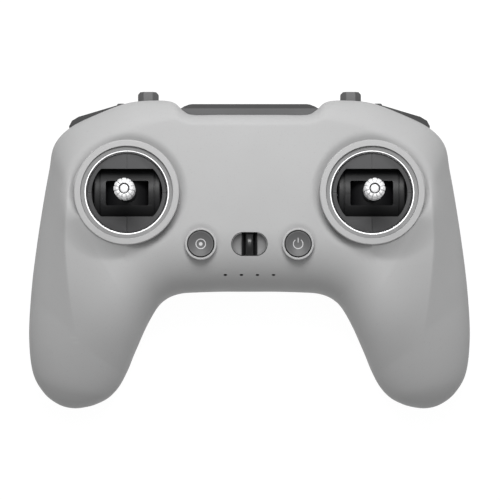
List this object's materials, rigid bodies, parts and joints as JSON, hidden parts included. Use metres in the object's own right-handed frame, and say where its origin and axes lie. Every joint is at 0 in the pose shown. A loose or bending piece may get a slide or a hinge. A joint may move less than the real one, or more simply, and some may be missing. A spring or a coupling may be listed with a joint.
{
  "type": "radio transmitter controller",
  "caption": "Hand-held radio transmitter with two tilting control sticks, round face buttons, a lanyard bar and controls along the top edge.",
  "frame": {"origin": "middle of the rest plane: the controller lies on its back, face up and level", "axes": "+X to the right from grip to grip, +Y towards the top edge with the levers, +Z out of the face"},
  "size_m": [0.165, 0.1182, 0.062],
  "materials": {
    "case_grey": "fine matte moulded grain",
    "bezel_grey": "smooth satin",
    "panel_dark": "satin",
    "trim_metal": "turned and polished",
    "plate_dark": "satin",
    "inner_black": "satin",
    "drum_black": "satin",
    "stick_silver": "knurled, bead blasted",
    "steel": "plated",
    "button_grey": "satin",
    "bar_black": "gloss",
    "light_clear": "smoked, gloss",
    "lever_dark": "satin",
    "board_green": "solder mask",
    "cell_sleeve": "shrink sleeve",
    "antenna_gold": "plated"
  },
  "bodies": {
    "case": {"front_shell": "case_grey", "back_shell": "case_grey", "top_panel": "panel_dark", "gimbal_bezel_left": "bezel_grey", "gimbal_bezel_right": "bezel_grey", "gimbal_trim_left": "trim_metal", "gimbal_trim_right": "trim_metal", "gimbal_plate_left": "plate_dark", "gimbal_plate_right": "plate_dark", "gimbal_frame_left": "inner_black", "gimbal_frame_right": "inner_black", "gimbal_sensor_left": "board_green", "gimbal_sensor_right": "board_green", "gimbal_spring_left": "steel", "gimbal_spring_right": "steel", "button_switches": "steel", "lanyard_bracket": "bar_black", "light_guide": "light_clear", "lever_pin_left": "steel", "lever_pin_right": "steel", "dial_axle": "steel", "shoulder_board_left": "board_green", "shoulder_board_right": "board_green", "main_board": "board_green", "buzzer": "inner_black", "usb_port": "steel", "usb_board": "board_green", "battery_cell": "cell_sleeve", "battery_cradle": "inner_black", "antenna_left": "antenna_gold", "antenna_right": "antenna_gold", "case_screws": "steel", "gimbal_screws": "steel", "board_screws": "steel"},
    "drum_left": {"drum_left": "drum_black"},
    "drum_right": {"drum_right": "drum_black"},
    "stick_left": {"carriage_left": "drum_black", "stick_shaft_left": "stick_silver", "stick_nut_left": "stick_silver", "stick_crown_left": "stick_silver"},
    "stick_right": {"carriage_right": "drum_black", "stick_shaft_right": "stick_silver", "stick_nut_right": "stick_silver", "stick_crown_right": "stick_silver"},
    "custom_button": {"custom_button": "button_grey"},
    "power_button": {"power_button": "button_grey"},
    "mode_lever": {"mode_lever": "lever_dark"},
    "function_lever": {"function_lever": "lever_dark"},
    "pause_button": {"pause_button": "lever_dark"},
    "record_button": {"record_button": "lever_dark"},
    "shutter_button": {"shutter_button": "lever_dark"},
    "camera_dial": {"camera_dial": "lever_dark"}
  },
  "joints": [
    {"name": "left_stick_fore_aft", "type": "hinge", "parent": "case", "child": "drum_left", "pos_m": [-0.0448, 0.0199, 0.027], "axis": [1, 0, 0], "range_deg": [-25, 25]},
    {"name": "left_stick_sideways", "type": "hinge", "parent": "drum_left", "child": "stick_left", "pos_m": [-0.0448, 0.0199, 0.027], "axis": [0, 1, 0], "range_deg": [-25, 25], "stiffness_Nm_per_rad": 0.03},
    {"name": "right_stick_fore_aft", "type": "hinge", "parent": "case", "child": "drum_right", "pos_m": [0.0448, 0.0199, 0.027], "axis": [1, 0, 0], "range_deg": [-25, 25], "stiffness_Nm_per_rad": 0.03},
    {"name": "right_stick_sideways", "type": "hinge", "parent": "drum_right", "child": "stick_right", "pos_m": [0.0448, 0.0199, 0.027], "axis": [0, 1, 0], "range_deg": [-25, 25], "stiffness_Nm_per_rad": 0.03},
    {"name": "custom_button_press", "type": "slide", "parent": "case", "child": "custom_button", "axis": [0, 0, -1], "range_m": [0, 0.0006], "stiffness_N_per_m": 500},
    {"name": "power_button_press", "type": "slide", "parent": "case", "child": "power_button", "axis": [0, 0, -1], "range_m": [0, 0.0006], "stiffness_N_per_m": 500},
    {"name": "mode_lever_tip", "type": "hinge", "parent": "case", "child": "mode_lever", "pos_m": [-0.0379, 0.0455, 0.02], "axis": [1, 0, 0], "range_deg": [-17, 17]},
    {"name": "function_lever_tip", "type": "hinge", "parent": "case", "child": "function_lever", "pos_m": [0.0379, 0.0455, 0.02], "axis": [1, 0, 0], "range_deg": [-17, 17]},
    {"name": "pause_button_press", "type": "slide", "parent": "case", "child": "pause_button", "axis": [0, -1, 0], "range_m": [0, 0.0005], "stiffness_N_per_m": 500},
    {"name": "record_button_press", "type": "slide", "parent": "case", "child": "record_button", "axis": [0, -1, 0], "range_m": [0, 0.0005], "stiffness_N_per_m": 500},
    {"name": "shutter_button_press", "type": "slide", "parent": "case", "child": "shutter_button", "axis": [0, -0.8346, 0.5508], "range_m": [0, 0.0006], "stiffness_N_per_m": 500},
    {"name": "camera_dial_turn", "type": "hinge", "parent": "case", "child": "camera_dial", "pos_m": [-0.057, 0.043, 0.0082], "axis": [1, 0, 0], "range_deg": [-30, 30], "stiffness_Nm_per_rad": 0.005}
  ]
}
